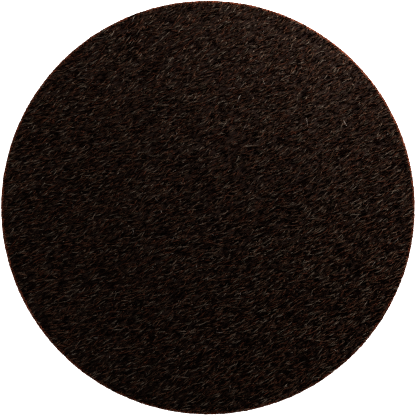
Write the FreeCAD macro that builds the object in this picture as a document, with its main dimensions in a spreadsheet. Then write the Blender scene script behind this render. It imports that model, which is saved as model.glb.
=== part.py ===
"""Felt polishing disc with a self-adhesive back, as sold: a thick felt disc, a double-coated
tape behind it and a slit paper liner that covers the tape until the disc is stuck to a lap plate.

Frame: +Z up out of the felt's working face, origin on the disc's axis at the liner's underside,
the slit in the liner along Y. All sizes are in millimetres.
"""

import FreeCAD, Part
import Sketcher

import math
import os

# Driving dimensions: alias, value, what it is.
DIMENSIONS = (
    ("pad_diameter", 152.4, "felt disc, a 6 inch lap plate's size"),
    ("felt_thickness", 6.35, "felt disc, a quarter of an inch"),
    ("edge_round", 0.8, "worn and brushed corner round the working face"),
    ("tape_inset", 0.3, "how far tape and liner stop short of the felt, which springs out once cut"),
    ("felt_adhesive_thickness", 0.13, "adhesive coat on the felt's side, thick enough to wet the fibres"),
    ("film_thickness", 0.05, "polyester carrier film between the two coats"),
    ("plate_adhesive_thickness", 0.10, "adhesive coat on the lap plate's side"),
    ("liner_thickness", 0.12, "silicone-coated paper liner"),
    ("slit_width", 0.2, "the cut that parts the liner into two halves"),
)

# Heights in the stack, from the liner's underside up, as formulas on the sheet.
LINER_TOP = "Sizes.liner_thickness"
PLATE_ADHESIVE_TOP = LINER_TOP + " + Sizes.plate_adhesive_thickness"
FILM_TOP = PLATE_ADHESIVE_TOP + " + Sizes.film_thickness"
TAPE_TOP = FILM_TOP + " + Sizes.felt_adhesive_thickness"
TAPE_DIAMETER = "Sizes.pad_diameter - 2 * Sizes.tape_inset"

OUT_FOLDER = "parts"
VOLUME_TOLERANCE = 1e-6

# How the sketch constraints name an element: its number, then which point of it.
ORIGIN = (-1, 1)
START, END, CENTRE = 1, 2, 3

# A sketch is drawn roughly at this size, before its constraints take the sheet's sizes.
ROUGH_RADIUS = 50.0


def make_sheet(doc):
    """The spreadsheet that every size is read from, one alias a row."""
    sheet = doc.addObject("Spreadsheet::Sheet", "Sizes")
    for row, (alias, value, note) in enumerate(DIMENSIONS, start=1):
        sheet.set(f"A{row}", alias)
        sheet.set(f"B{row}", str(value))
        sheet.set(f"C{row}", note)
        sheet.setAlias(f"B{row}", alias)
    doc.recompute()
    return sheet


def make_body(doc, label):
    body = doc.addObject("PartDesign::Body", label)
    body.Label = label
    return body


def flat_sketch(body, name, height):
    """A sketch parallel to the body's own XY plane, raised to a height formula."""
    sketch = body.newObject("Sketcher::SketchObject", name)
    plane = next(f for f in body.Origin.OriginFeatures if f.Role == "XY_Plane")
    sketch.AttachmentSupport = [(plane, "")]
    sketch.MapMode = "FlatFace"
    sketch.setExpression("AttachmentOffset.Base.z", height)
    return sketch


def draw_circle(sketch, diameter):
    """A circle about the origin whose diameter is a formula on the sheet."""
    circle = sketch.addGeometry(Part.Circle(), False)
    sketch.addConstraint(Sketcher.Constraint("Coincident", circle, CENTRE, *ORIGIN))
    across = sketch.addConstraint(Sketcher.Constraint("Diameter", circle, 2 * ROUGH_RADIUS))
    sketch.renameConstraint(across, "across")
    sketch.setExpression("Constraints.across", diameter)


def draw_half_disc(sketch, side, diameter, slit):
    """The half of a disc on one side of a slit along Y. Side is +1 for +X and -1 for -X."""
    first_angle = -side * math.pi / 2
    trim = math.radians(1)
    rough_arc = Part.ArcOfCircle(
        Part.Circle(FreeCAD.Vector(), FreeCAD.Vector(0, 0, 1), ROUGH_RADIUS),
        first_angle + trim,
        first_angle + math.pi - trim,
    )
    arc = sketch.addGeometry(rough_arc, False)
    chord = sketch.addGeometry(Part.LineSegment(rough_arc.EndPoint, rough_arc.StartPoint), False)
    sketch.addConstraint(
        [
            Sketcher.Constraint("Coincident", arc, CENTRE, *ORIGIN),
            Sketcher.Constraint("Coincident", arc, END, chord, START),
            Sketcher.Constraint("Coincident", chord, END, arc, START),
            Sketcher.Constraint("Vertical", chord),
        ]
    )
    reach = sketch.addConstraint(Sketcher.Constraint("Radius", arc, ROUGH_RADIUS))
    sketch.renameConstraint(reach, "reach")
    sketch.setExpression("Constraints.reach", f"({diameter}) / 2")
    left_to_right = (*ORIGIN, chord, START) if side > 0 else (chord, START, *ORIGIN)
    rough_setback = ROUGH_RADIUS * math.sin(trim)
    setback = sketch.addConstraint(Sketcher.Constraint("DistanceX", *left_to_right, rough_setback))
    sketch.renameConstraint(setback, "setback")
    sketch.setExpression("Constraints.setback", f"({slit}) / 2")


def pad_up(body, sketch, thickness):
    pad = body.newObject("PartDesign::Pad", body.Label + "_pad")
    pad.Profile = sketch
    pad.setExpression("Length", thickness)
    sketch.Visibility = False
    return pad


def round_layer(doc, label, bottom, thickness, diameter):
    """A plain round layer of the stack."""
    body = make_body(doc, label)
    sketch = flat_sketch(body, label + "_outline", bottom)
    draw_circle(sketch, diameter)
    pad_up(body, sketch, thickness)
    return body


def felt_disc(doc):
    """The felt: a die-cut disc with a square lower edge and a rounded upper one."""
    body = round_layer(doc, "felt_disc", TAPE_TOP, "Sizes.felt_thickness", "Sizes.pad_diameter")
    doc.recompute()
    pad = body.Tip
    top = pad.Shape.BoundBox.ZMax
    rim = [
        f"Edge{i}"
        for i, edge in enumerate(pad.Shape.Edges, start=1)
        if isinstance(edge.Curve, Part.Circle) and math.isclose(edge.Curve.Center.z, top)
    ]
    corner = body.newObject("PartDesign::Fillet", "worn_corner")
    corner.Base = (pad, rim)
    corner.setExpression("Radius", "min(Sizes.edge_round; Sizes.felt_thickness / 2)")
    return body


def liner_half(doc, label, side):
    """One half of the paper liner, on the +X or -X side of the slit."""
    body = make_body(doc, label)
    sketch = flat_sketch(body, label + "_outline", "0")
    draw_half_disc(sketch, side, TAPE_DIAMETER, "Sizes.slit_width")
    pad_up(body, sketch, "Sizes.liner_thickness")
    return body


def felt_volume(sheet):
    """A plain disc, less what the rounded corner takes off: a square less a quarter circle,
    swept round the disc at the radius of that sliver's centroid."""
    radius = sheet.pad_diameter / 2
    corner = min(sheet.edge_round, sheet.felt_thickness / 2)
    sliver = corner**2 * (1 - math.pi / 4)
    sliver_centroid = radius - corner * (10 - 3 * math.pi) / (12 - 3 * math.pi)
    return math.pi * radius**2 * sheet.felt_thickness - 2 * math.pi * sliver_centroid * sliver


def liner_half_volume(sheet, radius):
    """A circle's segment on one side of the slit, times the paper's thickness."""
    setback = sheet.slit_width / 2
    half_angle = math.acos(setback / radius)
    segment = radius**2 * half_angle - setback * math.sqrt(radius**2 - setback**2)
    return segment * sheet.liner_thickness


def wanted_volume(sheet, label):
    """What a sub-part's volume should be, worked out from the sheet without the model."""
    tape_radius = sheet.pad_diameter / 2 - sheet.tape_inset
    tape_area = math.pi * tape_radius**2
    return {
        "felt_disc": felt_volume(sheet),
        "felt_side_adhesive": tape_area * sheet.felt_adhesive_thickness,
        "carrier_film": tape_area * sheet.film_thickness,
        "plate_side_adhesive": tape_area * sheet.plate_adhesive_thickness,
        "left_liner_half": liner_half_volume(sheet, tape_radius),
        "right_liner_half": liner_half_volume(sheet, tape_radius),
    }[label]


def check(doc, sheet, bodies):
    """Stops the build if any object failed to recompute or any sub-part isn't the solid it should be."""
    failed = [o.Name for o in doc.Objects if {"Invalid", "Error"} & set(o.State)]
    if failed:
        raise RuntimeError(f"these objects failed to recompute: {failed}")
    for body in bodies:
        shape = body.Shape
        if shape.isNull() or not shape.isValid() or len(shape.Solids) != 1:
            raise RuntimeError(f"{body.Label} is not one valid solid")
        wanted = wanted_volume(sheet, body.Label)
        if abs(shape.Volume - wanted) > VOLUME_TOLERANCE * wanted:
            raise RuntimeError(f"{body.Label} has volume {shape.Volume}, not {wanted}")


def main():
    doc = FreeCAD.newDocument("felt_polishing_disc")
    sheet = make_sheet(doc)
    bodies = [
        felt_disc(doc),
        round_layer(
            doc, "felt_side_adhesive", FILM_TOP, "Sizes.felt_adhesive_thickness", TAPE_DIAMETER
        ),
        round_layer(
            doc, "carrier_film", PLATE_ADHESIVE_TOP, "Sizes.film_thickness", TAPE_DIAMETER
        ),
        round_layer(
            doc, "plate_side_adhesive", LINER_TOP, "Sizes.plate_adhesive_thickness", TAPE_DIAMETER
        ),
        liner_half(doc, "left_liner_half", -1),
        liner_half(doc, "right_liner_half", 1),
    ]
    doc.recompute()
    check(doc, sheet, bodies)
    os.makedirs(OUT_FOLDER, exist_ok=True)
    for body in bodies:
        body.Shape.exportStep(os.path.join(OUT_FOLDER, body.Label + ".step"))
        print(f"{body.Label}: {body.Shape.Volume:.2f} mm3")


main()
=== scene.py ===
"""Looks of a felt polishing disc: brushed wool felt on a self-adhesive back with a slit liner.

All sizes are in metres, in the CAD model's frame: +Z points up out of the felt's working face.
"""

import math

import bpy
import numpy as np
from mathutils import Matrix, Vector, noise


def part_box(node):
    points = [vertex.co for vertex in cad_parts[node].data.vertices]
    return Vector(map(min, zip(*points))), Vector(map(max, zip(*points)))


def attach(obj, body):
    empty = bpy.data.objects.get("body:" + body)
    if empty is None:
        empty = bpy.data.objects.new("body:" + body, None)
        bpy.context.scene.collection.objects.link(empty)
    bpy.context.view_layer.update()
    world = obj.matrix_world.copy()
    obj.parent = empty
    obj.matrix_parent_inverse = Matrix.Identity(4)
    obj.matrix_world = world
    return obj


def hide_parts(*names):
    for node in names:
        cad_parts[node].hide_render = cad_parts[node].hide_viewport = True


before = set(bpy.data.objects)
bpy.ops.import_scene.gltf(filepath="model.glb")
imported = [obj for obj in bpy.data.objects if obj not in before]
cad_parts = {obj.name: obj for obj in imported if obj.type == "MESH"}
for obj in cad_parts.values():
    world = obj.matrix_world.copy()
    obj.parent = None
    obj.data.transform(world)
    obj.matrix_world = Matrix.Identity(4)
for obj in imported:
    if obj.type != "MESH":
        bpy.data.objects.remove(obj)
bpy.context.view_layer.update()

bl_info = {
    "name": "Felt polishing disc",
    "version": (1, 0, 0),
    "blender": (4, 5, 0),
    "location": "3D View > Sidebar > Felt disc",
    "description": "Builds the brushed felt, the tape, the paper liner and a studio for them",
    "category": "Object",
}

MM = 0.001

FELT_LOW, FELT_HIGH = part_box("felt_disc")
_, TAPE_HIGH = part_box("felt_side_adhesive")
RADIUS = max(FELT_HIGH.x, FELT_HIGH.y)
FELT_TOP = FELT_HIGH.z
FELT_BOTTOM = FELT_LOW.z
TAPE_RADIUS = max(TAPE_HIGH.x, TAPE_HIGH.y)

# The UV map that strands carry: X holds a strand's shade and Y the place along it.
STRAND_MAP = "OFBake"


def linear(colour):
    """A colour written as sRGB hex, as the linear values that shaders take."""
    parts = [int(colour[i : i + 2], 16) / 255 for i in (1, 3, 5)]
    return [c / 12.92 if c <= 0.04045 else ((c + 0.055) / 1.055) ** 2.4 for c in parts]


# ---------------------------------------------------------------- settings


class FeltSettings(bpy.types.PropertyGroup):
    """Sizes and colours of the wool felt."""

    lay: bpy.props.FloatProperty(
        name="Lay",
        description="Way the working face was brushed, turned from +X towards +Y",
        default=math.radians(29),
        subtype="ANGLE",
    )
    swirl: bpy.props.FloatProperty(
        name="Swirl",
        description="How far the brushed lay wanders from place to place",
        default=math.radians(6),
        subtype="ANGLE",
    )
    fan: bpy.props.FloatProperty(
        name="Fan",
        description="How far the lay turns between the axis and the rim at +X",
        default=math.radians(5.5),
        subtype="ANGLE",
    )
    corner: bpy.props.FloatProperty(
        name="Corner",
        description="Radius of the worn corner between working face and cut wall",
        default=0.8 * MM,
        unit="LENGTH",
    )
    lumps: bpy.props.FloatProperty(
        name="Lumps",
        description="Height of the soft lumps in the pressed wool",
        default=0.09 * MM,
        unit="LENGTH",
    )
    # Partly the wool's own dark dye and partly painted shade: the wool under the nap shows only in the
    # shadowed gaps, so it is near black.
    deep_wool_and_shade: bpy.props.FloatVectorProperty(
        name="Deep wool",
        description="Colour of the pressed wool under the nap",
        default=linear("#1c0a04"),
        size=3,
        min=0,
        max=1,
        subtype="COLOR",
    )
    dyed: bpy.props.FloatVectorProperty(
        name="Dyed strands",
        description="Main colour of the dyed strands",
        default=linear("#36281f"),
        size=3,
        min=0,
        max=1,
        subtype="COLOR",
    )
    russet: bpy.props.FloatVectorProperty(
        name="Russet strands",
        description="Colour of strands that took the dye redder",
        default=linear("#58372a"),
        size=3,
        min=0,
        max=1,
        subtype="COLOR",
    )
    olive: bpy.props.FloatVectorProperty(
        name="Olive strands",
        description="Colour of strands that took the dye yellower",
        default=linear("#4a4337"),
        size=3,
        min=0,
        max=1,
        subtype="COLOR",
    )
    # Partly the strands' own grey, where they took little dye, and partly a painted highlight: the
    # palettes give it to the highest strands.
    greyer_and_highlit: bpy.props.FloatVectorProperty(
        name="Greyer strands",
        description="Colour of the lightest strands, which took little dye",
        default=linear("#6c5f53"),
        size=3,
        min=0,
        max=1,
        subtype="COLOR",
    )
    pale: bpy.props.FloatVectorProperty(
        name="Kemp",
        description="Colour of the coarse hairs that take no dye",
        default=linear("#9c8f84"),
        size=3,
        min=0,
        max=1,
        subtype="COLOR",
    )
    # Partly the cut ends' own red-brown and partly a painted glow of light through thin ends, since no
    # light passes through them here.
    cut: bpy.props.FloatVectorProperty(
        name="Cut ends",
        description="Colour of the thin cut ends round the rim, where light comes through them",
        default=linear("#86513d"),
        size=3,
        min=0,
        max=1,
        subtype="COLOR",
    )


class BackingSettings(bpy.types.PropertyGroup):
    """Colours of the tape and its liner."""

    adhesive: bpy.props.FloatVectorProperty(
        name="Adhesive",
        description="Colour of the acrylic adhesive seen edge on",
        default=linear("#c9bd94"),
        size=3,
        min=0,
        max=1,
        subtype="COLOR",
    )
    film: bpy.props.FloatVectorProperty(
        name="Film",
        description="Colour of the polyester film seen edge on",
        default=linear("#d8dcdc"),
        size=3,
        min=0,
        max=1,
        subtype="COLOR",
    )
    paper: bpy.props.FloatVectorProperty(
        name="Liner paper",
        description="Colour of the kraft paper",
        default=linear("#665337"),
        size=3,
        min=0,
        max=1,
        subtype="COLOR",
    )


class StageSettings(bpy.types.PropertyGroup):
    """The studio round the disc."""

    floor: bpy.props.FloatVectorProperty(
        name="Floor",
        description="Colour of the floor",
        default=linear("#f2f2f0"),
        size=3,
        min=0,
        max=1,
        subtype="COLOR",
    )
    lamps: bpy.props.FloatVectorProperty(
        name="Lamps",
        description="Colour of the lamps",
        default=linear("#f5faff"),
        size=3,
        min=0,
        max=1,
        subtype="COLOR",
    )
    margin: bpy.props.FloatProperty(
        name="Margin",
        description="Width of the floor seen round the disc",
        default=0.38 * MM,
        unit="LENGTH",
    )


SETTINGS = {
    "disc_felt": FeltSettings,
    "disc_backing": BackingSettings,
    "disc_stage": StageSettings,
}


# ---------------------------------------------------------------- helpers


def out_of(node):
    """A node's first output that is in use."""
    return next(s for s in node.outputs if s.enabled)


def add(tree, kind, inputs=None, **settings):
    """Adds a node with its settings. Each input, by name or number, gets a value, a socket's link
    or a link to a node's first output."""
    node = tree.nodes.new(kind)
    for name, value in settings.items():
        setattr(node, name, value)
    for key, value in (inputs or {}).items():
        if isinstance(key, int):
            socket = node.inputs[key]
        else:
            socket = next(s for s in node.inputs if s.enabled and s.name == key)
        if isinstance(value, bpy.types.Node):
            value = out_of(value)
        if isinstance(value, bpy.types.NodeSocket):
            tree.links.new(value, socket)
        else:
            socket.default_value = value
    return node


def start_material(name, **sockets):
    """A material with one Principled shader, whose sockets are given with _ for each space."""
    material = bpy.data.materials.new(name)
    material.use_nodes = True
    shader = material.node_tree.nodes["Principled BSDF"]
    for socket, value in sockets.items():
        shader.inputs[socket.replace("_", " ")].default_value = value
    return material, material.node_tree, shader


def feed(shader, **sources):
    """Links nodes into a shader's sockets, which are given with _ for each space."""
    for socket, node in sources.items():
        shader.id_data.links.new(out_of(node), shader.inputs[socket.replace("_", " ")])


def set_stops(ramp, stops):
    """Gives a colour ramp its stops: position and colour, in rising order."""
    while len(ramp.elements) < len(stops):
        ramp.elements.new(0.5)
    for element, (position, colour) in zip(ramp.elements, stops):
        element.position = position
        element.color = (*colour, 1)


def toned(colour, level):
    """A colour made darker or lighter by a factor."""
    return [c * level for c in colour]


def new_piece(name, mesh, material=None):
    """An object at the origin that shows a mesh."""
    piece = bpy.data.objects.new(name, mesh)
    bpy.context.scene.collection.objects.link(piece)
    if material:
        mesh.materials.append(material)
    return piece


def smooth_mesh(name, points, faces):
    mesh = bpy.data.meshes.new(name)
    mesh.from_pydata(points, [], faces)
    mesh.validate()
    mesh.shade_smooth()
    return mesh


# ---------------------------------------------------------------- felt mass


STEPS_ROUND = 480
TOP_RING_GAP = 1.0 * MM
CORNER_STEPS = 6
WALL_STEP = 0.4 * MM
LOWER_CORNER = 0.25 * MM
# The underside's last ring of points, out of sight above the tape.
UNDERSIDE_RADIUS = TAPE_RADIUS - 1.0 * MM

LUMP_SPACING = 9 * MM
RIDGE_LENGTH = 4.5 * MM
RIDGE_SPACING = 1.3 * MM
LAYER_LENGTH = 3.0 * MM
LAYER_HEIGHT = 0.5 * MM
# Where ridges and layers are read in the noise, so that neither repeats the lumps.
RIDGE_SLICE = 3.7
LAYER_SLICE = 8.1
# Shares of the lump height. The ridges on the working face have all of it.
TOP_LUMP_SHARE = 0.8
WALL_LUMP_SHARE = 0.4
WALL_LAYER_SHARE = 0.7

STREAK_WIDTH = 0.6 * MM
STREAK_STRETCH = 4
STREAK_DEPTH = 0.15 * MM


def felt_profile(corner):
    """The felt's outline as (radius, height) from the top's middle, over the rim, to below."""
    flat = RADIUS - corner
    rings = round(flat / TOP_RING_GAP)
    top = [(flat * i / rings, FELT_TOP) for i in range(1, rings)]
    bend = [math.pi / 2 * i / CORNER_STEPS for i in range(CORNER_STEPS + 1)]
    shoulder = [
        (flat + corner * math.sin(a), FELT_TOP - corner * (1 - math.cos(a))) for a in bend
    ]
    wall_top = FELT_TOP - corner
    wall_foot = FELT_BOTTOM + LOWER_CORNER
    rows = round((wall_top - wall_foot) / WALL_STEP)
    wall = [(RADIUS, wall_top + (wall_foot - wall_top) * i / rows) for i in range(1, rows + 1)]
    lip = [(RADIUS - LOWER_CORNER, FELT_BOTTOM), (UNDERSIDE_RADIUS, FELT_BOTTOM)]
    return top + shoulder + wall + lip


def felt_offset(place, normal, lay, lumps):
    """How far the pressed wool stands out at a place: soft lumps, with ridges along the lay on
    the working face and flat layers on the cut wall."""
    soft = noise.noise(place / LUMP_SPACING)
    along = place.x * math.cos(lay) + place.y * math.sin(lay)
    across = place.y * math.cos(lay) - place.x * math.sin(lay)
    ridge = noise.noise(Vector((along / RIDGE_LENGTH, across / RIDGE_SPACING, RIDGE_SLICE)))
    turn = math.atan2(place.y, place.x) * RADIUS / LAYER_LENGTH
    layer = noise.noise(Vector((turn, LAYER_SLICE, place.z / LAYER_HEIGHT)))
    on_top = (TOP_LUMP_SHARE * soft + ridge) * max(normal.z, 0.0)
    on_wall = WALL_LUMP_SHARE * soft + WALL_LAYER_SHARE * layer
    return lumps * (on_top + on_wall * math.hypot(normal.x, normal.y))


def build_felt_mass(felt):
    """The pressed wool as one closed skin, turned from its profile and pushed out by its lumps.
    The underside stays flat on the tape."""
    profile = felt_profile(felt.corner)
    turns = [2 * math.pi * i / STEPS_ROUND for i in range(STEPS_ROUND)]
    points = [Vector((r * math.cos(a), r * math.sin(a), z)) for r, z in profile for a in turns]
    top_middle = len(points)
    bottom_middle = top_middle + 1
    points += [Vector((0, 0, FELT_TOP)), Vector((0, 0, FELT_BOTTOM))]
    faces = []
    for ring in range(len(profile) - 1):
        for i in range(STEPS_ROUND):
            near, far = ring * STEPS_ROUND, (ring + 1) * STEPS_ROUND
            after = (i + 1) % STEPS_ROUND
            faces.append((near + i, far + i, far + after, near + after))
    last = (len(profile) - 1) * STEPS_ROUND
    for i in range(STEPS_ROUND):
        after = (i + 1) % STEPS_ROUND
        faces.append((top_middle, i, after))
        faces.append((bottom_middle, last + after, last + i))
    mesh = smooth_mesh("felt_mass", points, faces)
    normals = [vertex.normal.copy() for vertex in mesh.vertices]
    for vertex, normal in zip(mesh.vertices, normals):
        if vertex.co.z > FELT_BOTTOM + LOWER_CORNER / 2:
            vertex.co += normal * felt_offset(vertex.co, normal, felt.lay, felt.lumps)
    mesh.update()
    return mesh


def pressed_wool(felt):
    """Pressed wool under the nap: matt, with streaks of lighter strands in it. Its near black is
    partly its dark dye and partly painted shade for the gaps between the strands.
    """
    material, tree, shader = start_material(
        "pressed dyed wool", Roughness=0.9, Specular_IOR_Level=0.2
    )
    place = add(tree, "ShaderNodeTexCoord").outputs["Object"]
    turned = add(tree, "ShaderNodeMapping", {"Vector": place, "Rotation": (0, 0, -felt.lay)})
    stretched = add(
        tree, "ShaderNodeMapping", {"Vector": turned, "Scale": (1 / STREAK_STRETCH, 1, 1)}
    )
    streaks = add(
        tree,
        "ShaderNodeTexNoise",
        {"Vector": stretched, "Scale": 1 / STREAK_WIDTH, "Detail": 3.0, "Roughness": 0.6},
    )
    colours = add(tree, "ShaderNodeValToRGB", {"Fac": streaks})
    set_stops(colours.color_ramp, ((0.35, felt.deep_wool_and_shade), (0.72, felt.dyed)))
    bump = add(
        tree, "ShaderNodeBump", {"Strength": 0.8, "Distance": STREAK_DEPTH, "Height": streaks}
    )
    feed(shader, Base_Color=colours, Normal=bump)
    return material


# ---------------------------------------------------------------- strands


# A single wool fibre, 0.04 mm across, is too fine to show. So each strand stands for a small tuft
# of them, and is drawn as wide as one. Kemp hairs are drawn a little thicker than they are.
#
# Name, kind and default of each named input of the strand tree:
# - Density is strands to the square metre.
# - A spread is a share of its size, but turn spread is an angle.
# - Lift is the steepest that strands rise, and depth how far above and below the surface they lie.
# - Bend and arch push a strand's middle sideways and outwards, as shares of its length.
# - No strand reaches past the rim, give or take the rim's play, or below the lowest height.
# - Painted depth shade is how far a strand's shade follows its depth, darker when low and lighter
#   when high; the tuft inputs shade long patches of strands alike.
STRAND_INPUTS = (
    ("Density", "NodeSocketFloat", 1e6),
    ("Length", "NodeSocketFloat", 2.5 * MM),
    ("Length Spread", "NodeSocketFloat", 0.4),
    ("Width", "NodeSocketFloat", 0.35 * MM),
    ("Width Spread", "NodeSocketFloat", 0.35),
    ("Turn Spread", "NodeSocketFloat", math.radians(24)),
    ("Lift", "NodeSocketFloat", math.radians(12)),
    ("Depth", "NodeSocketFloat", 0.3 * MM),
    ("Bend", "NodeSocketFloat", 0.2),
    ("Arch", "NodeSocketFloat", 0.08),
    ("Rim", "NodeSocketFloat", RADIUS),
    ("Rim Play", "NodeSocketFloat", 0.1 * MM),
    ("Lowest", "NodeSocketFloat", FELT_BOTTOM + 0.15 * MM),
    ("Depth Shade", "NodeSocketFloat", 0.6),
    ("Tuft Shade", "NodeSocketFloat", 0.0),
    ("Tuft Turn", "NodeSocketFloat", 0.0),
    ("Tuft Length", "NodeSocketFloat", 3.0 * MM),
    ("Tuft Width", "NodeSocketFloat", 0.75 * MM),
    ("Points", "NodeSocketInt", 4),
    ("Seed", "NodeSocketInt", 1),
    ("Wool", "NodeSocketMaterial", None),
)
# A strand's random draws between -1 and 1, in the order of their seeds. Two draws make the turn, so
# that small turns are the commonest, and the second also sets how near the rim a strand may come.
DRAWS = ("turn", "second turn", "lift", "length", "depth", "bend", "arch", "width", "shade")
STRAND_SIDES = 3
SWELL_POWER = 0.4
TIP_SHARE = 0.12
# Half the patch that a strand's section covers on the strand map. It is turned so that no face of
# the strand has zero width there.
MAP_PATCH = 0.004
MAP_TURN = 0.26
# Painted shade at the root, where a strand goes into the felt: the share of a strand's length
# # that it darkens, and its level at the very end.
ROOT_SHADE_SHARE = 0.6
ROOT_SHADE_LEVEL = 0.45


def strand_direction(tree, given, normal, draws):
    """Each strand's own direction, which is the lay turned in the surface and lifted out of it,
    and the direction beside it."""
    lay = add(tree, "GeometryNodeInputNamedAttribute", {"Name": "lay"}, data_type="FLOAT_VECTOR")
    beside = add(tree, "ShaderNodeVectorMath", {0: normal, 1: lay}, operation="CROSS_PRODUCT")
    beside = add(tree, "ShaderNodeVectorMath", {0: beside}, operation="NORMALIZE")
    ahead = add(tree, "ShaderNodeVectorMath", {0: beside, 1: normal}, operation="CROSS_PRODUCT")
    turn = add(
        tree, "ShaderNodeMath", {0: draws["turn"], 1: draws["second turn"]}, operation="ADD"
    )
    turn = add(tree, "ShaderNodeMath", {0: turn, 1: given["Turn Spread"]}, operation="MULTIPLY")
    ahead = add(tree, "ShaderNodeVectorRotate", {"Vector": ahead, "Axis": normal, "Angle": turn})
    beside = add(tree, "ShaderNodeVectorMath", {0: normal, 1: ahead}, operation="CROSS_PRODUCT")

    # The lift is a turn about the direction beside the strand, and outwards is negative.
    lift = add(
        tree, "ShaderNodeMath", {0: draws["lift"], 1: -0.5, 2: -0.5}, operation="MULTIPLY_ADD"
    )
    lift = add(tree, "ShaderNodeMath", {0: lift, 1: given["Lift"]}, operation="MULTIPLY")
    ahead = add(tree, "ShaderNodeVectorRotate", {"Vector": ahead, "Axis": beside, "Angle": lift})
    return ahead, beside


def strand_course(tree, given, place, normal, draws):
    """Each strand's start, middle and end, which a quadratic curve runs between."""
    ahead, beside = strand_direction(tree, given, normal, draws)
    length = add(
        tree,
        "ShaderNodeMath",
        {0: draws["length"], 1: given["Length Spread"], 2: 1.0},
        operation="MULTIPLY_ADD",
    )
    length = add(tree, "ShaderNodeMath", {0: length, 1: given["Length"]}, operation="MULTIPLY")
    half = add(tree, "ShaderNodeMath", {0: length, 1: 0.5}, operation="MULTIPLY")
    reach = add(tree, "ShaderNodeVectorMath", {0: ahead, "Scale": half}, operation="SCALE")
    depth = add(
        tree, "ShaderNodeMath", {0: draws["depth"], 1: given["Depth"]}, operation="MULTIPLY"
    )
    layer = add(tree, "ShaderNodeVectorMath", {0: normal, "Scale": depth}, operation="SCALE")
    root = add(tree, "ShaderNodeVectorMath", {0: place, 1: layer}, operation="ADD")
    start = add(tree, "ShaderNodeVectorMath", {0: root, 1: reach}, operation="SUBTRACT")
    end = add(tree, "ShaderNodeVectorMath", {0: root, 1: reach}, operation="ADD")
    middle = root
    for draw, size, way in (("bend", "Bend", beside), ("arch", "Arch", normal)):
        aside = add(
            tree, "ShaderNodeMath", {0: draws[draw], 1: given[size]}, operation="MULTIPLY"
        )
        aside = add(tree, "ShaderNodeMath", {0: aside, 1: length}, operation="MULTIPLY")
        aside = add(tree, "ShaderNodeVectorMath", {0: way, "Scale": aside}, operation="SCALE")
        middle = add(tree, "ShaderNodeVectorMath", {0: middle, 1: aside}, operation="ADD")
    return start, middle, end


def strand_half_width(tree, given, draws):
    wide = add(
        tree,
        "ShaderNodeMath",
        {0: draws["width"], 1: given["Width Spread"], 2: 1.0},
        operation="MULTIPLY_ADD",
    )
    wide = add(tree, "ShaderNodeMath", {0: wide, 1: given["Width"]}, operation="MULTIPLY")
    return add(tree, "ShaderNodeMath", {0: wide, 1: 0.5}, operation="MULTIPLY")


def strand_shade(tree, given, place, draws):
    """Each strand's shade from 0 to 1: partly its own, partly its depth, which paints shade on low
    strands and light on high ones, and shared with its tuft, which is a long patch of noise."""
    # Mixing in the depth paints shade on the deeper strands and light on the higher ones.
    shade = add(
        tree,
        "ShaderNodeMix",
        {"Factor": given["Depth Shade"], "A": draws["shade"], "B": draws["depth"]},
        data_type="FLOAT",
    )
    shade = add(tree, "ShaderNodeMath", {0: shade, 1: 0.5, 2: 0.5}, operation="MULTIPLY_ADD")
    back = add(tree, "ShaderNodeMath", {0: 0.0, 1: given["Tuft Turn"]}, operation="SUBTRACT")
    brushed = add(
        tree,
        "ShaderNodeVectorRotate",
        {"Vector": place, "Angle": back},
        rotation_type="Z_AXIS",
    )
    cell = add(
        tree,
        "ShaderNodeCombineXYZ",
        {"X": given["Tuft Length"], "Y": given["Tuft Width"], "Z": given["Tuft Width"]},
    )
    brushed = add(tree, "ShaderNodeVectorMath", {0: brushed, 1: cell}, operation="DIVIDE")
    tuft = add(tree, "ShaderNodeTexNoise", {"Vector": brushed, "Scale": 1.0, "Detail": 1.0})
    tuft = add(tree, "ShaderNodeMath", {0: tuft, 1: 0.5}, operation="SUBTRACT")
    return add(
        tree,
        "ShaderNodeMath",
        {0: tuft, 1: given["Tuft Shade"], 2: shade},
        operation="MULTIPLY_ADD",
        use_clamp=True,
    )


def bent_lines(tree, given, own, share):
    """One line for each point, bent to its strand's course and held inside the rim and above the
    lowest height."""
    line = add(tree, "GeometryNodeCurvePrimitiveLine", {"End": (1.0, 0.0, 0.0)})
    line = add(tree, "GeometryNodeResampleCurve", {"Curve": line, "Count": given["Points"]})
    lines = add(
        tree, "GeometryNodeInstanceOnPoints", {"Points": own["Geometry"], "Instance": line}
    )
    lines = add(tree, "GeometryNodeRealizeInstances", {"Geometry": lines})
    first = add(
        tree,
        "ShaderNodeMix",
        {"Factor": share, "A": own["Start"], "B": own["Middle"]},
        data_type="VECTOR",
    )
    second = add(
        tree,
        "ShaderNodeMix",
        {"Factor": share, "A": own["Middle"], "B": own["End"]},
        data_type="VECTOR",
    )
    curve = add(
        tree, "ShaderNodeMix", {"Factor": share, "A": first, "B": second}, data_type="VECTOR"
    )
    flat = add(
        tree, "ShaderNodeVectorMath", {0: curve, 1: (1.0, 1.0, 0.0)}, operation="MULTIPLY"
    )
    away = add(tree, "ShaderNodeVectorMath", {0: flat}, operation="LENGTH").outputs["Value"]
    held = add(tree, "ShaderNodeMath", {0: own["Rim"], 1: away}, operation="DIVIDE")
    held = add(tree, "ShaderNodeMath", {0: held, 1: 1.0}, operation="MINIMUM")
    held = add(tree, "ShaderNodeCombineXYZ", {"X": held, "Y": held, "Z": 1.0})
    curve = add(tree, "ShaderNodeVectorMath", {0: curve, 1: held}, operation="MULTIPLY")

    # Only the height is held from below, since no strand is as far out as a metre.
    lowest = add(tree, "ShaderNodeCombineXYZ", {"X": -1.0, "Y": -1.0, "Z": given["Lowest"]})
    curve = add(tree, "ShaderNodeVectorMath", {0: curve, 1: lowest}, operation="MAXIMUM")
    return add(tree, "GeometryNodeSetPosition", {"Geometry": lines, "Position": curve})


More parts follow.
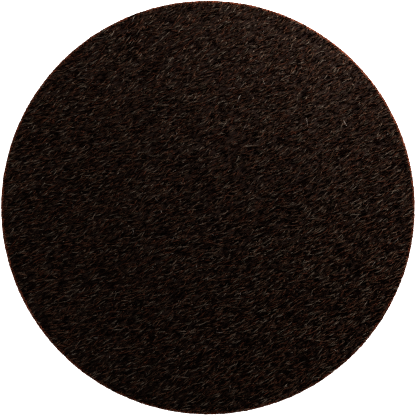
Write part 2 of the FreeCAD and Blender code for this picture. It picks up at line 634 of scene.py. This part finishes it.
def strand_skin(tree, lines, own, share):
    """A solid strand round each line, pointed at both ends, with its strand map."""
    # Four times the share times its rest is 0 at both ends and 1 in the middle. The power keeps the
    # strand nearly full until it is near its tips.
    rest = add(tree, "ShaderNodeMath", {0: 1.0, 1: share}, operation="SUBTRACT")
    swell = add(tree, "ShaderNodeMath", {0: share, 1: rest}, operation="MULTIPLY")
    swell = add(tree, "ShaderNodeMath", {0: swell, 1: 4.0}, operation="MULTIPLY")
    swell = add(tree, "ShaderNodeMath", {0: swell, 1: SWELL_POWER}, operation="POWER")
    swell = add(tree, "ShaderNodeMath", {0: swell, 1: TIP_SHARE}, operation="MAXIMUM")
    swell = add(tree, "ShaderNodeMath", {0: swell, 1: own["Wide"]}, operation="MULTIPLY")
    lines = add(tree, "GeometryNodeCaptureAttribute", {"Geometry": lines})
    lines.capture_items.new("FLOAT", "Along")
    tree.links.new(share, lines.inputs["Along"])
    section = add(
        tree, "GeometryNodeCurvePrimitiveCircle", {"Resolution": STRAND_SIDES, "Radius": 1.0}
    )
    section = add(tree, "GeometryNodeCaptureAttribute", {"Geometry": section})
    section.capture_items.new("FLOAT", "Around")
    tree.links.new(share, section.inputs["Around"])
    strands = add(
        tree,
        "GeometryNodeCurveToMesh",
        {
            "Curve": lines.outputs["Geometry"],
            "Profile Curve": section.outputs["Geometry"],
            "Scale": swell,
            "Fill Caps": True,
        },
    )
    angle = add(
        tree,
        "ShaderNodeMath",
        {0: section.outputs["Around"], 1: 2 * math.pi, 2: MAP_TURN},
        operation="MULTIPLY_ADD",
    )
    cosine = add(tree, "ShaderNodeMath", {0: angle}, operation="COSINE")
    sine = add(tree, "ShaderNodeMath", {0: angle}, operation="SINE")
    across = add(
        tree,
        "ShaderNodeMath",
        {0: cosine, 1: MAP_PATCH, 2: own["Shade"]},
        operation="MULTIPLY_ADD",
    )
    along = add(
        tree,
        "ShaderNodeMath",
        {0: sine, 1: MAP_PATCH, 2: lines.outputs["Along"]},
        operation="MULTIPLY_ADD",
    )
    mapped = add(tree, "ShaderNodeCombineXYZ", {"X": across, "Y": along})
    return add(
        tree,
        "GeometryNodeStoreNamedAttribute",
        {"Geometry": strands, "Name": STRAND_MAP, "Value": mapped},
        data_type="FLOAT2",
        domain="CORNER",
    )


def strand_tree():
    """Geometry Nodes that lay curved, pointed strands on a surface, along its lay attribute."""
    tree = bpy.data.node_groups.new("Lay strands", "GeometryNodeTree")
    tree.is_modifier = True
    tree.interface.new_socket("Surface", in_out="INPUT", socket_type="NodeSocketGeometry")
    tree.interface.new_socket("Strands", in_out="OUTPUT", socket_type="NodeSocketGeometry")
    for name, kind, value in STRAND_INPUTS:
        socket = tree.interface.new_socket(name, in_out="INPUT", socket_type=kind)
        if value is not None:
            socket.default_value = value
    given = add(tree, "NodeGroupInput").outputs
    scattered = add(
        tree,
        "GeometryNodeDistributePointsOnFaces",
        {"Mesh": given["Surface"], "Density": given["Density"], "Seed": given["Seed"]},
    )
    draws = {}
    for step, name in enumerate(DRAWS, start=1):
        seed = add(tree, "ShaderNodeMath", {0: given["Seed"], 1: float(step)}, operation="ADD")
        draws[name] = add(
            tree,
            "FunctionNodeRandomValue",
            {"Min": -1.0, "Max": 1.0, "Seed": seed},
            data_type="FLOAT",
        )
    place = add(tree, "GeometryNodeInputPosition")
    start, middle, end = strand_course(tree, given, place, scattered.outputs["Normal"], draws)
    rim = add(
        tree,
        "ShaderNodeMath",
        {0: draws["second turn"], 1: given["Rim Play"], 2: given["Rim"]},
        operation="MULTIPLY_ADD",
    )

    # The lines and their skin read these values after the points are gone, so each line keeps them.
    kept = add(tree, "GeometryNodeCaptureAttribute", {"Geometry": scattered})
    for name, kind, value in (
        ("Start", "VECTOR", start),
        ("Middle", "VECTOR", middle),
        ("End", "VECTOR", end),
        ("Wide", "FLOAT", strand_half_width(tree, given, draws)),
        ("Shade", "FLOAT", strand_shade(tree, given, place, draws)),
        ("Rim", "FLOAT", rim),
    ):
        kept.capture_items.new(kind, name)
        tree.links.new(out_of(value), kept.inputs[name])
    own = kept.outputs
    share = add(tree, "GeometryNodeSplineParameter").outputs["Factor"]
    lines = bent_lines(tree, given, own, share)
    strands = strand_skin(tree, lines, own, share)
    strands = add(tree, "GeometryNodeSetShadeSmooth", {"Geometry": strands})
    strands = add(tree, "GeometryNodeRealizeInstances", {"Geometry": strands})
    strands = add(
        tree, "GeometryNodeSetMaterial", {"Geometry": strands, "Material": given["Wool"]}
    )
    add(tree, "NodeGroupOutput", {"Strands": strands})
    return tree


def scalp(mass, keep, lay_at):
    """The part of the felt's skin whose face middles pass the test, with the lay at each vertex."""
    faces = [list(p.vertices) for p in mass.polygons if keep(p.center, p.normal)]
    used = sorted({v for face in faces for v in face})
    index = {v: i for i, v in enumerate(used)}
    points = [mass.vertices[v].co.copy() for v in used]
    skin = smooth_mesh("scalp", points, [[index[v] for v in face] for face in faces])
    lay = skin.attributes.new("lay", "FLOAT_VECTOR", "POINT")
    lay.data.foreach_set("vector", np.array([lay_at(p) for p in points], np.float32).ravel())
    return skin


def grow(tree, name, skin, material, **inputs):
    """Strands on a skin, as a plain mesh that rides on the pad. The tree's inputs are given with _
    for each space."""
    ground = new_piece(name + "_ground", skin)
    modifier = ground.modifiers.new("Strands", "NODES")
    modifier.node_group = tree
    sockets = {s.name: s.identifier for s in tree.interface.items_tree if s.in_out == "INPUT"}
    for socket, value in inputs.items():
        modifier[sockets[socket.replace("_", " ")]] = value
    modifier[sockets["Wool"]] = material
    seen = ground.evaluated_get(bpy.context.evaluated_depsgraph_get())
    mesh = bpy.data.meshes.new_from_object(seen)
    mesh.name = name
    ground.modifiers.remove(modifier)
    bpy.data.objects.remove(ground)
    piece = new_piece(name, mesh)
    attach(piece, "pad")
    return piece


def wool_strands(name, shades):
    """Wool strands: matt, with painted shade at their roots and a shade of their own, which is read
    off their map. The shades run from the deepest strands at 0 to the palest at 1."""
    material, tree, shader = start_material(name, Roughness=0.6, Specular_IOR_Level=0.0)
    mapped = add(tree, "ShaderNodeUVMap", uv_map=STRAND_MAP)
    parts = add(tree, "ShaderNodeSeparateXYZ", {"Vector": mapped})
    palette = add(tree, "ShaderNodeValToRGB", {"Fac": parts.outputs["X"]})
    set_stops(palette.color_ramp, shades)
    root = add(
        tree,
        "ShaderNodeMapRange",
        {
            "Value": parts.outputs["Y"],
            "From Max": ROOT_SHADE_SHARE,
            "To Min": ROOT_SHADE_LEVEL,
            "To Max": 1.0,
        },
    )
    shaded = add(
        tree, "ShaderNodeVectorMath", {0: palette, "Scale": root}, operation="SCALE"
    )
    feed(shader, Base_Color=shaded)
    return material


# ---------------------------------------------------------------- the felt's strands


NAP_SECTORS = 7
# A face belongs to the working face when its normal's upward part is over the first limit, and to
# the cut wall when it is under the second.
TOP_FACING = 0.85
WALL_FACING = 0.4
RIM_BAND = 0.8 * MM

# The lay wanders over wide patches and over near ones, each by its share of the swirl.
WIDE_PATCH = 22 * MM
WIDE_SHARE = 0.8
NEAR_PATCH = 5 * MM
NEAR_SHARE = 1.2
NEAR_SLICE = Vector((4.0, 9.0, 2.0))


def brushed_lay(felt):
    """A function of place that gives the brushed direction on the working face."""

    def lay_at(place):
        wide = noise.noise(place / WIDE_PATCH)
        near = noise.noise(place / NEAR_PATCH + NEAR_SLICE)
        wander = felt.swirl * (WIDE_SHARE * wide + NEAR_SHARE * near)
        angle = felt.lay + felt.fan * place.x / RADIUS + wander
        return math.cos(angle), math.sin(angle), 0.0

    return lay_at


def round_the_rim(place):
    """The direction along the cut wall."""
    away = math.hypot(place.x, place.y)
    return -place.y / away, place.x / away, 0.0


def in_sector(place, sector):
    """Whether a place is in one of the equal sectors that the nap is parted into."""
    turn = math.atan2(place.y, place.x) / (2 * math.pi) % 1.0
    return int(turn * NAP_SECTORS) == sector


def grow_nap(tree, mass, felt):
    """The brushed nap, in sectors that keep each mesh small. Its shades go to and fro between dyed,
    russet and olive, so that strands that lie side by side differ in tint."""
    nap = wool_strands(
        "dyed wool strands",
        (
            # The darkest stops are painted shade on the lowest strands, and the lightest are partly
            # painted highlight on the highest, since the depth shade orders the shades by height.
            (0.0, toned(felt.deep_wool_and_shade, 0.1)),
            (0.35, toned(felt.deep_wool_and_shade, 0.35)),
            (0.55, toned(felt.russet, 0.2)),
            (0.65, felt.dyed),
            (0.7, felt.russet),
            (0.76, felt.olive),
            (0.81, toned(felt.russet, 1.15)),
            (0.87, toned(felt.dyed, 2.4)),
            (0.94, toned(felt.dyed, 3.4)),
            (1.0, felt.greyer_and_highlit),
        ),
    )
    lay = brushed_lay(felt)
    for sector in range(NAP_SECTORS):

        def on_top(place, normal, sector=sector):
            return normal.z > TOP_FACING and in_sector(place, sector)

        grow(
            tree,
            f"felt_nap_{sector + 1}",
            scalp(mass, on_top, lay),
            nap,
            Density=3.45e6,
            Length=2.4 * MM,
            Length_Spread=0.8,
            Width=0.27 * MM,
            Bend=0.07,
            Turn_Spread=math.radians(17),
            Depth_Shade=0.7,
            Tuft_Shade=1.9,
            Tuft_Length=2.8 * MM,
            Tuft_Width=0.4 * MM,
            Tuft_Turn=felt.lay + math.radians(4),
            Rim=RADIUS - 0.15 * MM,
            Rim_Play=0.15 * MM,
            Seed=100 + 10 * sector,
        )


def grow_kemp(tree, mass, felt):
    """The coarse undyed hairs that lie loose in the nap."""
    kemp = wool_strands("undyed kemp hairs", ((0.0, toned(felt.pale, 0.5)), (1.0, felt.pale)))
    grow(
        tree,
        "felt_kemp",
        scalp(mass, lambda place, normal: normal.z > TOP_FACING, brushed_lay(felt)),
        kemp,
        Density=9e3,
        Length=3.0 * MM,
        Length_Spread=0.6,
        Width=0.17 * MM,
        Turn_Spread=math.radians(45),
        Lift=math.radians(14),
        Depth=0.1 * MM,
        Rim=RADIUS - 0.1 * MM,
        Points=6,
        Seed=300,
    )


def grow_cut_ends(tree, mass, felt):
    """The thin cut ends along the worn corner. Their lighter red-brown is partly their own colour
    and partly a painted glow, for light that comes through them.
    """

    def on_corner(place, normal):
        return place.z > FELT_TOP - felt.corner and place.xy.length > RADIUS - RIM_BAND

    ends = wool_strands("cut wool ends", ((0.0, toned(felt.cut, 0.6)), (1.0, felt.cut)))
    grow(
        tree,
        "felt_rim",
        scalp(mass, on_corner, round_the_rim),
        ends,
        Density=1e7,
        Length=1.3 * MM,
        Width=0.16 * MM,
        Turn_Spread=math.radians(40),
        Lift=math.radians(20),
        Depth=0.1 * MM,
        Rim=RADIUS + 0.13 * MM,
        Seed=400,
    )


def grow_wall(tree, mass, felt):
    """The short strands of the cut wall, which run round the disc."""
    wall = wool_strands(
        "dyed wool strands, cut across",
        (
            # As on the nap, the dark stops are painted shade on the low strands and the light ones
            # partly painted highlight on the high ones.
            (0.0, toned(felt.dyed, 0.15)),
            (0.4, toned(felt.dyed, 0.45)),
            (0.62, felt.dyed),
            (0.75, felt.olive),
            (0.85, toned(felt.dyed, 1.6)),
            (1.0, toned(felt.greyer_and_highlit, 0.8)),
        ),
    )
    grow(
        tree,
        "felt_wall",
        scalp(mass, lambda place, normal: abs(normal.z) < WALL_FACING, round_the_rim),
        wall,
        Density=3.1e6,
        Length=1.8 * MM,
        Width=0.22 * MM,
        Turn_Spread=math.radians(22),
        Lift=math.radians(10),
        Depth=0.08 * MM,
        Rim=RADIUS + 0.15 * MM,
        Seed=500,
    )


# ---------------------------------------------------------------- tape and liner


RIPPLE_WIDTH = 2.5 * MM
RIPPLE_DEPTH = 0.03 * MM
ROLLING_LINE_WIDTH = 0.8 * MM
PULP_WIDTH = 0.9 * MM
PULP_DEPTH = 0.02 * MM


def clear_adhesive(backing):
    """Acrylic pressure-sensitive adhesive: soft, tacky and glossy, a little amber, slightly rippled."""
    material, tree, shader = start_material(
        "acrylic pressure-sensitive adhesive", Roughness=0.22, IOR=1.47, Coat_Weight=0.4
    )
    place = add(tree, "ShaderNodeTexCoord").outputs["Object"]
    ripple = add(
        tree,
        "ShaderNodeTexNoise",
        {"Vector": place, "Scale": 1 / RIPPLE_WIDTH, "Detail": 2.0, "Roughness": 0.5},
    )
    thin, thick = (*toned(backing.adhesive, 0.8), 1), (*backing.adhesive, 1)
    tone = add(
        tree, "ShaderNodeMix", {"Factor": ripple, "A": thin, "B": thick}, data_type="RGBA"
    )
    bump = add(
        tree, "ShaderNodeBump", {"Strength": 0.3, "Distance": RIPPLE_DEPTH, "Height": ripple}
    )
    feed(shader, Base_Color=tone, Normal=bump)
    return material


def polyester_film(backing):
    """Polyester carrier film: smooth and glossy, with faint rolling lines."""
    material, tree, shader = start_material("polyester film", Roughness=0.12, IOR=1.6)
    place = add(tree, "ShaderNodeTexCoord").outputs["Object"]
    lines = add(tree, "ShaderNodeMapping", {"Vector": place, "Scale": (0.05, 1.0, 1.0)})
    rolled = add(
        tree,
        "ShaderNodeTexNoise",
        {"Vector": lines, "Scale": 1 / ROLLING_LINE_WIDTH, "Detail": 1.0, "Roughness": 0.5},
    )
    dull, clear = (*toned(backing.film, 0.92), 1), (*backing.film, 1)
    tone = add(
        tree, "ShaderNodeMix", {"Factor": rolled, "A": dull, "B": clear}, data_type="RGBA"
    )
    feed(shader, Base_Color=tone)
    return material


def coated_kraft(backing):
    """Kraft paper with silicone on its tape side only: brown, matt and pressed smooth outside, with
    pulp flecks along the way it was rolled."""
    material, tree, shader = start_material(
        "silicone-coated kraft paper", Roughness=0.7, Specular_IOR_Level=0.2
    )
    place = add(tree, "ShaderNodeTexCoord").outputs["Object"]
    grain = add(tree, "ShaderNodeMapping", {"Vector": place, "Scale": (1.0, 0.35, 1.0)})
    pulp = add(
        tree,
        "ShaderNodeTexNoise",
        {"Vector": grain, "Scale": 1 / PULP_WIDTH, "Detail": 6.0, "Roughness": 0.65},
    )
    colours = add(tree, "ShaderNodeValToRGB", {"Fac": pulp})
    set_stops(colours.color_ramp, ((0.32, toned(backing.paper, 0.62)), (0.58, backing.paper)))
    bump = add(
        tree, "ShaderNodeBump", {"Strength": 0.25, "Distance": PULP_DEPTH, "Height": pulp}
    )
    feed(shader, Base_Color=colours, Normal=bump)
    return material


def wear(material, *nodes):
    """Gives a material to CAD nodes, in their objects' own slots."""
    for name in nodes:
        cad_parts[name].material_slots[0].material = material


# ---------------------------------------------------------------- stage


FLOOR_REACH = 3.0
FLOOR_GLOW = 1.15
# The floor lies this far under the liner, so that the two never share a plane.
FLOOR_DROP = 0.05 * MM
# The camera sees the room as white, while all else gets only this much light from it.
ROOM_LIGHT = 0.03
# Name, bearing in degrees from +X, distance from the axis, height, width and power in watts.
LAMPS = (
    ("key", 50, 0.22, 0.065, 0.04, 1.19),
    ("lower left fill", -145, 0.20, 0.06, 0.05, 0.16),
    ("upper left fill", 145, 0.20, 0.06, 0.05, 0.16),
    ("lower right fill", -35, 0.20, 0.06, 0.05, 0.19),
)
LENS = 100.0
SENSOR = 36.0
NEAREST_SEEN = 0.01


def lay_floor(stage):
    """A wide white floor that glows, so that it stays white under weak lamps."""
    material, _, _ = start_material(
        "white backdrop paper",
        Base_Color=(*stage.floor, 1),
        Roughness=0.9,
        Emission_Color=(*stage.floor, 1),
        Emission_Strength=FLOOR_GLOW,
    )
    far = FLOOR_REACH
    corners = [
        (x, y, -FLOOR_DROP) for x, y in ((-far, -far), (far, -far), (far, far), (-far, far))
    ]
    mesh = smooth_mesh("floor", corners, [(0, 1, 2, 3)])
    new_piece("floor", mesh, material)


def light_room(scene):
    room = bpy.data.worlds.new("studio")
    scene.world = room
    room.use_nodes = True
    sky = room.node_tree.nodes["Background"]
    sky.inputs["Color"].default_value = (1, 1, 1, 1)
    path = add(room.node_tree, "ShaderNodeLightPath")
    level = add(
        room.node_tree,
        "ShaderNodeMapRange",
        {"Value": path.outputs["Is Camera Ray"], "To Min": ROOM_LIGHT, "To Max": 1.0},
    )
    feed(sky, Strength=level)


def hang_lamps(scene, colour):
    """Low lamps round the disc, aimed at its middle. The key gives the shading and the fills only
    soften it."""
    for name, bearing, away, height, size, power in LAMPS:
        light = bpy.data.lights.new(name, "AREA")
        light.shape = "DISK"
        light.size = size
        light.energy = power
        light.color = colour
        lamp = bpy.data.objects.new(name, light)
        scene.collection.objects.link(lamp)
        turn = math.radians(bearing)
        lamp.location = (away * math.cos(turn), away * math.sin(turn), height)
        lamp.rotation_mode = "QUATERNION"
        lamp.rotation_quaternion = (-lamp.location).to_track_quat("-Z", "Y")
        lamp.visible_camera = False


def set_camera(scene, margin):
    """A long lens straight above the disc, which fills the frame but for the margin."""
    camera = bpy.data.cameras.new("camera")
    camera.lens = LENS
    camera.sensor_width = SENSOR
    camera.clip_start = NEAREST_SEEN
    viewer = bpy.data.objects.new("camera", camera)
    scene.collection.objects.link(viewer)
    seen = 2 * (RADIUS + margin)
    viewer.location = (0, 0, FELT_TOP + seen * LENS / SENSOR)
    scene.camera = viewer


# ---------------------------------------------------------------- operators


class DISC_OT_felt(bpy.types.Operator):
    """Build the felt: its pressed mass, the brushed nap, kemp hairs, cut rim and cut wall"""

    bl_idname = "felt_disc.felt"
    bl_label = "Felt"

    def execute(self, context):
        felt = context.scene.disc_felt
        mass = build_felt_mass(felt)
        body = new_piece("felt_mass", mass, pressed_wool(felt))
        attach(body, "pad")
        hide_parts("felt_disc")
        tree = strand_tree()
        for cover in (grow_nap, grow_kemp, grow_cut_ends, grow_wall):
            cover(tree, mass, felt)
        return {"FINISHED"}


class DISC_OT_tape(bpy.types.Operator):
    """Finish the tape: both adhesive coats and the film between them"""

    bl_idname = "felt_disc.tape"
    bl_label = "Tape"

    def execute(self, context):
        backing = context.scene.disc_backing
        wear(clear_adhesive(backing), "felt_side_adhesive", "plate_side_adhesive")
        wear(polyester_film(backing), "carrier_film")
        return {"FINISHED"}


class DISC_OT_liner(bpy.types.Operator):
    """Finish both halves of the paper liner"""

    bl_idname = "felt_disc.liner"
    bl_label = "Liner"

    def execute(self, context):
        wear(coated_kraft(context.scene.disc_backing), "left_liner_half", "right_liner_half")
        return {"FINISHED"}


class DISC_OT_stage(bpy.types.Operator):
    """Build the floor, the lights and the camera straight above the disc"""

    bl_idname = "felt_disc.stage"
    bl_label = "Stage"

    def execute(self, context):
        scene = context.scene
        stage = scene.disc_stage
        lay_floor(stage)
        light_room(scene)
        hang_lamps(scene, stage.lamps)
        set_camera(scene, stage.margin)
        scene.view_settings.view_transform = "Standard"
        scene.view_settings.look = "High Contrast"
        scene.cycles.use_denoising = False
        return {"FINISHED"}


OPERATORS = (DISC_OT_stage, DISC_OT_felt, DISC_OT_tape, DISC_OT_liner)


class DISC_PT_panel(bpy.types.Panel):
    """Lists the pieces of the disc, each with its button"""

    bl_idname = "DISC_PT_panel"
    bl_label = "Felt disc"
    bl_space_type = "VIEW_3D"
    bl_region_type = "UI"
    bl_category = "Felt disc"

    def draw(self, context):
        for operator in OPERATORS:
            self.layout.operator(operator.bl_idname)


CLASSES = (*SETTINGS.values(), *OPERATORS, DISC_PT_panel)


def register():
    for cls in CLASSES:
        bpy.utils.register_class(cls)
    for name, group in SETTINGS.items():
        setattr(bpy.types.Scene, name, bpy.props.PointerProperty(type=group))


def unregister():
    for name in SETTINGS:
        delattr(bpy.types.Scene, name)
    for cls in reversed(CLASSES):
        bpy.utils.unregister_class(cls)


def main():
    register()
    for operator in OPERATORS:
        category, name = operator.bl_idname.split(".")
        getattr(getattr(bpy.ops, category), name)()


if __name__ == "__main__":
    main()
